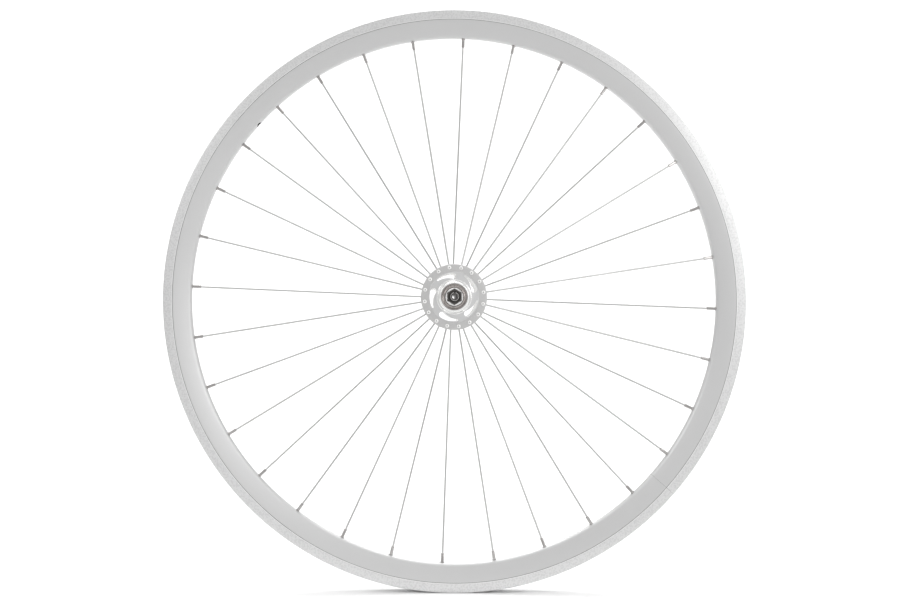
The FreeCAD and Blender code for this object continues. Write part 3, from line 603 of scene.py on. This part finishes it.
def make_rim(material):
    """The rim, hollow, with a pair of holes for each nipple and one hole for the valve."""
    facets = 640
    inside = RIM_APEX - 2
    solid = turned(soften(mirrored(rim_outside()), 0.15), facets)
    cutters = [turned(mirrored(rim_cavity()), facets)]
    for number in range(SPOKES):
        angle = FIRST_SPOKE + number * SPOKE_STEP
        outward = polar(angle, 1)
        cutters.append(rod(polar(angle, inside), outward, [(0, NIPPLE_HOLE), (8, NIPPLE_HOLE)]))
        cutters.append(rod(polar(angle, WELL - 4), outward, [(0, ACCESS_HOLE), (14, ACCESS_HOLE)], 48))
    through = [(0, VALVE_HOLE + 0.5), (2.5, VALVE_HOLE), (34, VALVE_HOLE)]
    cutters.append(rod(polar(VALVE_ANGLE, inside), polar(VALVE_ANGLE, 1), through, 48))
    rim = carved("rim_extrusion", solid, cutters)
    finish_piece(rim, "wheel", material, "rim_alloy", "rim")


# ---- spokes and nipples --------------------------------------------------------------------------


def tube(path, radius, segments=20):
    """A wire bent along a path of (x, y) points in the plane z = 0."""
    rings = []
    for i, (x, y) in enumerate(path):
        before, after = path[max(i - 1, 0)], path[min(i + 1, len(path) - 1)]
        heading = Vector((after[0] - before[0], after[1] - before[1], 0)).normalized()
        across = Vector((-heading.y, heading.x, 0))
        turns = [math.tau * k / segments for k in range(segments)]
        up = Vector((0, 0, 1))
        rings.append([Vector((x, y, 0)) + (across * math.cos(a) + up * math.sin(a)) * radius for a in turns])
    return rings_to_mesh(rings, closed=False)


def spoke_path():
    """Centre line of a left-hand spoke, from inside its head to its end in the nipple."""
    lean = math.radians(SPOKE_LEAN)
    elbow_end = HOLE_CIRCLE + SPOKE_BEND * (1 - math.sin(lean))
    fall = (SPOKE_SEAT - elbow_end) * math.tan(lean)
    path = [(HOLE_CIRCLE, FLANGE_OUTER + 0.5), (HOLE_CIRCLE, fall + SPOKE_BEND * math.cos(lean))]
    path += bow(path[-1], (elbow_end, fall), SPOKE_BEND, 1, 10)
    path.append((SPOKE_END, -(SPOKE_END - SPOKE_SEAT) * math.tan(lean)))
    return path


def make_spoke_mesh(side):
    """A spoke along +X: a bent wire and a mushroom head with a small flat on top."""
    wire = tube([(x, y * side) for x, y in spoke_path()], SPOKE_WIRE)
    foot = FLANGE_OUTER + 0.03
    head = [(0.0, 0.05), (0.0, 1.85), (0.12, 2.0), (0.35, 2.05), (0.62, 1.85), (0.85, 1.45)]
    head += [(0.98, 1.0), (1.02, 0.75), (0.9, 0.5), (0.62, 0.3), (0.58, 0.05)]
    mushroom = rod((HOLE_CIRCLE, foot * side, 0), (0, side, 0), head, 28)
    return new_object("spoke_first", merged([wire, mushroom]), 40)


def make_spokes(material):
    first = {side: make_spoke_mesh(side) for side in (RIGHT, LEFT)}
    for side, obj in first.items():
        obj.data.materials.append(material)
    for number in range(1, SPOKES + 1):
        side = RIGHT if number % 2 else LEFT
        spoke = bpy.data.objects.new(f"spoke_wire_{number:02d}", first[side].data)
        bpy.context.scene.collection.objects.link(spoke)
        spoke.matrix_world = about_axle(FIRST_SPOKE + (number - 1) * SPOKE_STEP)
        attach(spoke, "wheel")
        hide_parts(f"spoke_{number:02d}")
    for obj in first.values():
        bpy.data.objects.remove(obj)


def nipple_rings(segments=40):
    """Rings of a nipple along +X from its tip to its head, square where a key takes hold."""
    tip, square_end, body, head, flats, bore = -12.9, -3.9, 1.98, 2.8, 1.63, 1.06
    round_ring = 9
    stations = [(tip, 1.30, round_ring), (tip + 0.25, 1.62, round_ring)]
    stations += [(tip + 0.9, body, flats), (square_end - 0.15, body, flats)]
    outer_end = [(square_end, body), (0.0, body), (0.9, head), (2.2, head), (2.8, 2.3), (3.1, 1.5)]
    inner_end = [(3.1, 1.08), (tip + 2.0, bore), (tip, bore)]
    stations += [(x, radius, round_ring) for x, radius in outer_end + inner_end]
    rings = []
    for x, radius, half_width in stations:
        ring = []
        for k in range(segments):
            a = math.tau * (k + 0.5) / segments
            reach = min(radius, half_width / max(abs(math.cos(a)), abs(math.sin(a))))
            ring.append(Vector((x, reach * math.cos(a), reach * math.sin(a))))
        rings.append(ring)
    return rings


def make_nipples(word, side, material):
    """The sixteen nipples of one flange's spokes."""
    first = 0 if side == RIGHT else 1
    lean = Matrix.Rotation(math.radians(-side * SPOKE_LEAN), 4, "Z")
    seat = Matrix.Translation((SPOKE_SEAT, 0, 0)) @ lean @ Matrix.Translation((NIPPLE_LIFT, 0, 0))
    nipples = []
    for number in range(first, SPOKES, 2):
        place = about_axle(FIRST_SPOKE + number * SPOKE_STEP) @ seat
        rings = [[place @ p for p in ring] for ring in nipple_rings()]
        nipples.append(rings_to_mesh(rings, closed=True))
    obj = new_object("nipples_plated_" + word, merged(nipples), 25)
    finish_piece(obj, "wheel", material, "nipple_plating", "nipples_" + word)


# ---- hub -----------------------------------------------------------------------------------------


def shell_outside():
    """Half of the hub shell's section, from the middle of the barrel round to its bore."""
    foot, fillet, edge = 17.4, 1.5, FLANGE_ROUNDING
    recess = FLANGE_OUTER - FACE_DEPTH
    half = [(BARREL, 0), (BARREL, 17.0)]
    half += bow(half[-1], (foot, FLANGE_INNER - fillet), 30.0, -1, 10)
    half += bow(half[-1], (foot + fillet, FLANGE_INNER), fillet, -1, 6)
    half.append((FLANGE_RADIUS - edge, FLANGE_INNER))
    half += bow(half[-1], (FLANGE_RADIUS, FLANGE_INNER + edge), edge, 1, 8)
    half.append((FLANGE_RADIUS, FLANGE_OUTER - edge))
    half += bow(half[-1], (FLANGE_RADIUS - edge, FLANGE_OUTER), edge, 1, 8)
    half += [(FACE_STEP, FLANGE_OUTER), (FACE_STEP - FACE_DEPTH, recess), (COLLAR + COLLAR_FILLET, recess)]
    half += bow(half[-1], (COLLAR, recess + COLLAR_FILLET), COLLAR_FILLET, -1, 6)
    half += bow(half[-1], (15.5, SHELL_END - 0.5), 9.0, 1, 12)
    half += bow(half[-1], (15.0, SHELL_END), 0.5, 1, 4)
    half += [(CAP_RADIUS, SHELL_END), (CAP_RADIUS, CAP_SEAT), (CUP_BORE, CAP_SEAT)]
    half += [(CUP_BORE, CUP_FLOOR), (HUB_BORE, CUP_FLOOR), (HUB_BORE, 0)]
    return half


def slot_outline():
    """A slot in the top of a flange: round at its right-hand end, narrow at its left-hand end."""
    start, end, outer, big, small, inner_bow = 92.2, 134.0, 25.8, 3.2, 0.9, 21.0

    def at(angle, distance, along=0.0):
        a = math.radians(angle)
        x = distance * math.cos(a) - along * math.sin(a)
        return (x, distance * math.sin(a) + along * math.cos(a))

    outline = [at(start, outer - 2 * big)]
    outline += bow(outline[-1], at(start, outer - big, -big), big, 1, 8)
    outline += bow(outline[-1], at(start, outer), big, 1, 8)
    outline += bow(outline[-1], at(end, outer), outer, 1, 16)
    outline += bow(outline[-1], at(end, outer - small, small), small, 1, 6)
    outline += bow(outline[-1], at(end, outer - 2 * small), small, 1, 6)
    outline += bow(outline[-1], outline[0], inner_bow, -1, 12)
    return outline[:-1]


def slot_cutters():
    """A cutter for each slot of both flanges."""
    cutters = []
    for number in range(SLOTS):
        turn = math.radians(360 / SLOTS * number)
        cos, sin = math.cos(turn), math.sin(turn)
        outline = [(x * cos - z * sin, x * sin + z * cos) for x, z in slot_outline()]
        for side in (RIGHT, LEFT):
            low, high = sorted((side * (FLANGE_INNER - 1), side * (FLANGE_OUTER + 1)))
            cutters.append(prism(outline, low, high))
    return cutters


def spoke_hole_cutters():
    """A cutter for each spoke hole, with a bevel at both faces of its flange."""
    bevel = 0.5
    wide = SPOKE_HOLE + bevel * 2
    thick = FLANGE_OUTER - FLANGE_INNER
    radii = [(-bevel, wide), (bevel, SPOKE_HOLE), (thick - bevel, SPOKE_HOLE), (thick + bevel, wide)]
    cutters = []
    for number in range(SPOKES):
        side = RIGHT if number % 2 == 0 else LEFT
        start = polar(FIRST_SPOKE + number * SPOKE_STEP, HOLE_CIRCLE, side * FLANGE_INNER)
        cutters.append(rod(start, (0, side, 0), radii, 28))
    return cutters


def make_hub_shell(material):
    solid = turned(mirrored(shell_outside()), 256)
    shell = carved("hub_shell_turned", solid, slot_cutters() + spoke_hole_cutters())
    finish_piece(shell, "wheel", material, "hub_alloy", "hub_shell")


def make_dust_cap(word, side, material):
    """A pressed ring with a rounded edge, a dished face and a lip round its hole."""
    face, edge, sheet, lip = SHELL_END - 0.4, 0.5, 0.7, 1.5
    dish = face - 0.5
    outline = [(CAP_RADIUS - sheet, CAP_SEAT), (CAP_RADIUS, CAP_SEAT), (CAP_RADIUS, face - edge)]
    outline += bow(outline[-1], (CAP_RADIUS - edge, face), edge, 1, 6)
    outline.append((CAP_RADIUS - 1.0, face))
    outline += bow(outline[-1], (CAP_HOLE + lip, dish), 6.0, -1, 8)
    outline += bow(outline[-1], (CAP_HOLE, dish + 0.2), 0.85, 1, 10)
    outline += [(CAP_HOLE, dish - 0.35), (CAP_HOLE + lip, dish - sheet), (CAP_RADIUS - 1.4, face - sheet)]
    outline.append((CAP_RADIUS - sheet, face - sheet))
    cap = new_object("dust_cap_pressed_" + word, turned(outline, 192, side))
    finish_piece(cap, "wheel", material, "dust_cap_steel", "dust_cap_" + word)


def make_locknut(word, side, material):
    """A hexagon cut from a turned blank, so that its corners are chamfered."""
    corner = LOCKNUT_HALF / math.cos(math.radians(30))
    low, high, bore = LOCKNUT_INNER, LOCKNUT_OUTER, THREAD_RADIUS + 0.03
    sink, chamfer = COUNTERSINK - bore, 0.85
    face, widest = LOCKNUT_HALF - 0.25, corner + 0.1
    blank = [(bore, low + sink), (COUNTERSINK, low), (face, low), (widest, low + chamfer)]
    blank += [(widest, high - chamfer), (face, high), (COUNTERSINK, high), (bore, high - sink)]
    turns = [math.radians(90 + 60 * k) for k in range(6)]
    hexagon = [(corner * math.cos(a), corner * math.sin(a)) for a in turns]
    keep = prism(hexagon, *sorted((side * (low - 1), side * (high + 1))))
    nut = carved("locknut_hexagon_" + word, turned(soften(blank, 0.12), 144, side), [keep], "INTERSECT", 20)
    finish_piece(nut, "axle_assembly", material, "black_steel", "locknut_" + word)


def thread_radius(y, part_turn):
    """Radius of the axle's skin at a place along it and a part of a turn round it."""
    from_end = min(AXLE_END - abs(y), AXLE_CHAMFER)
    crest = AXLE_RADIUS if abs(y) > STUB_START else THREAD_RADIUS
    phase = (y / THREAD_PITCH - part_turn) % 1.0
    cut = THREAD_DEPTH * max(1 - 1.25 * abs(2 * phase - 1), 0.0)
    return min(crest, AXLE_RADIUS - cut, AXLE_RADIUS - AXLE_CHAMFER + from_end)


def make_axle(material):
    """A hollow axle with a real thread and a keyway."""
    rows_per_turn, segments = 12, 60
    rows = int(AXLE_END * 2 / THREAD_PITCH * rows_per_turn)
    parts = [k / segments for k in range(segments)]
    stations = []
    for j in range(rows + 1):
        y = -AXLE_END + AXLE_END * 2 * j / rows
        stations.append((y, [thread_radius(y, part) for part in parts]))
    stations += [(y, [AXLE_BORE] * segments) for y in (AXLE_END, -AXLE_END)]
    rings = []
    for y, radii in stations:
        turns = [math.tau * part for part in parts]
        rings.append([(radius * math.cos(a), y, radius * math.sin(a)) for radius, a in zip(radii, turns)])
    half, top = 1.0, 6.0
    keyway = [(-half, KEYWAY_FLOOR), (half, KEYWAY_FLOOR), (half, top), (-half, top)]
    cutter = prism(keyway, -AXLE_END - 2, AXLE_END + 2)
    axle = carved("axle_threaded", rings_to_mesh(rings, closed=True), [cutter], sharp=60)
    finish_piece(axle, "axle_assembly", material, "bearing_steel", "axle")


def paint_inner_parts(ground, polished, rim_alloy):
    """The parts inside the hub and the rim keep their CAD shape and get their own metal."""
    for word in SIDES:
        paint(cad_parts["cone_" + word], polished)
        for node in ("lock_washer_", "bearing_cup_", "bearing_balls_"):
            paint(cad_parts[node + word], ground)
    paint(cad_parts["rim_joint_sleeve"], rim_alloy)


def paint(obj, material):
    obj.data.materials.clear()
    obj.data.materials.append(material)


# ---- stage ---------------------------------------------------------------------------------------


def make_floor(material):
    """A white sheet that runs over the floor and sweeps up behind the wheel."""
    low, front, depth, bend, high, half_width = -RIM_OUTER - 0.05, -3500.0, 2600.0, 900.0, 3200.0, 4000.0
    outline = [(front, low), (depth - bend, low)]
    outline += bow(outline[-1], (depth, low + bend), bend, 1, 24)
    outline.append((depth, high))
    bm = bmesh.new()
    sides = (-half_width, half_width)
    rows = [[bm.verts.new(Vector((x, y, z)) * MM) for y, z in outline] for x in sides]
    for i in range(len(outline) - 1):
        bm.faces.new((rows[0][i], rows[1][i], rows[1][i + 1], rows[0][i + 1]))
    floor = new_object("floor_sweep", bm)
    floor.data.materials.append(material)


def area_light(name, place, size, power, aim=(0.0, 0.0, 0.0)):
    data = bpy.data.lights.new(name, "AREA")
    data.shape = "RECTANGLE"
    data.size, data.size_y = size
    data.energy = power
    light = bpy.data.objects.new(name, data)
    light.location = place
    light.rotation_euler = (Vector(aim) - Vector(place)).to_track_quat("-Z", "Y").to_euler()
    bpy.context.scene.collection.objects.link(light)


def make_world():
    """A bright, even tent, a little stronger from the right and from above."""
    world = bpy.data.worlds.new("studio")
    bpy.context.scene.world = world
    world.use_nodes = True
    tree = world.node_tree
    sky = tree.nodes["Background"]
    coords = tree.nodes.new("ShaderNodeTexCoord").outputs["Generated"]
    parts = tree.nodes.new("ShaderNodeSeparateXYZ")
    tree.links.new(coords, parts.inputs[0])
    sky.inputs["Color"].default_value = (1.0, 1.0, 1.0, 1.0)
    strength = tree.nodes.new("ShaderNodeMath")
    tree.links.new(strength.outputs[0], sky.inputs["Strength"])
    for socket, axis, start, low, high in ((0, "X", -1.0, 0.74, 0.86), (1, "Z", 0.7, 0.0, 0.75)):
        ramp = tree.nodes.new("ShaderNodeMapRange")
        ramp.interpolation_type = "SMOOTHSTEP"
        ramp.inputs["From Min"].default_value = start
        ramp.inputs["From Max"].default_value = 1.0
        ramp.inputs["To Min"].default_value = low
        ramp.inputs["To Max"].default_value = high
        tree.links.new(parts.outputs[axis], ramp.inputs["Value"])
        tree.links.new(ramp.outputs[0], strength.inputs[socket])


def light_stage():
    """Three softboxes in front of the wheel, one above and behind it, and a light on the backdrop."""
    area_light("softbox_right", (2.1, -1.5, 0.8), (1.0, 1.4), 5.5)
    area_light("softbox_near_right", (0.85, -1.5, 0.40), (0.45, 0.8), 2.6, (0.3, 0.0, 0.1))
    area_light("softbox_left", (-2.0, -1.5, 1.3), (1.0, 1.0), 8.0)
    area_light("softbox_top", (0.0, 1.0, 2.4), (2.4, 1.4), 14.0, (0.0, 0.6, -0.3))
    area_light("backdrop_light", (0.0, 1.0, 2.3), (3.0, 0.8), 30.0, (0.0, 2.6, 0.4))


def make_camera():
    """The camera stands 1.2 m from the hub, a little low and to the left of its axis."""
    distance, around, above = 1.2, math.radians(-1.96), math.radians(-0.99)
    yaw, pitch = math.radians(0.87), math.radians(-3.02)
    place = Vector((math.sin(around) * math.cos(above), -math.cos(around) * math.cos(above), math.sin(above)))
    back = Vector((math.sin(yaw) * math.cos(pitch), -math.cos(yaw) * math.cos(pitch), math.sin(pitch)))
    right = Vector((math.cos(yaw), math.sin(yaw), 0.0))
    up = back.cross(right)
    data = bpy.data.cameras.new("camera")
    data.lens = 43.8
    data.shift_x = 0.0569
    data.shift_y = -0.0459
    camera = bpy.data.objects.new("camera", data)
    turn = Matrix((right, up, back)).transposed().to_4x4()
    camera.matrix_world = Matrix.Translation(place * distance) @ turn
    bpy.context.scene.collection.objects.link(camera)
    bpy.context.scene.camera = camera


# ---- the scene -----------------------------------------------------------------------------------


def build():
    bearing = steel("bearing_steel_ground", (0.66, 0.655, 0.64), 0.18)
    rim_alloy = rim_metal()
    make_rim(rim_alloy)
    make_hub_shell(hub_metal())
    make_spokes(spoke_metal())
    nickel, cap, black = nipple_metal(), cap_metal(), black_metal()
    for word, side in SIDES.items():
        make_nipples(word, side, nickel)
        make_dust_cap(word, side, cap)
        make_locknut(word, side, black)
    make_axle(axle_metal())
    polished = steel("cone_steel_polished", (0.93, 0.925, 0.92), 0.10)
    paint_inner_parts(bearing, polished, rim_alloy)
    make_floor(stage_white())
    make_world()
    light_stage()
    make_camera()
    bpy.context.scene.view_settings.view_transform = "Standard"
    bpy.context.scene.view_settings.look = "None"


build()
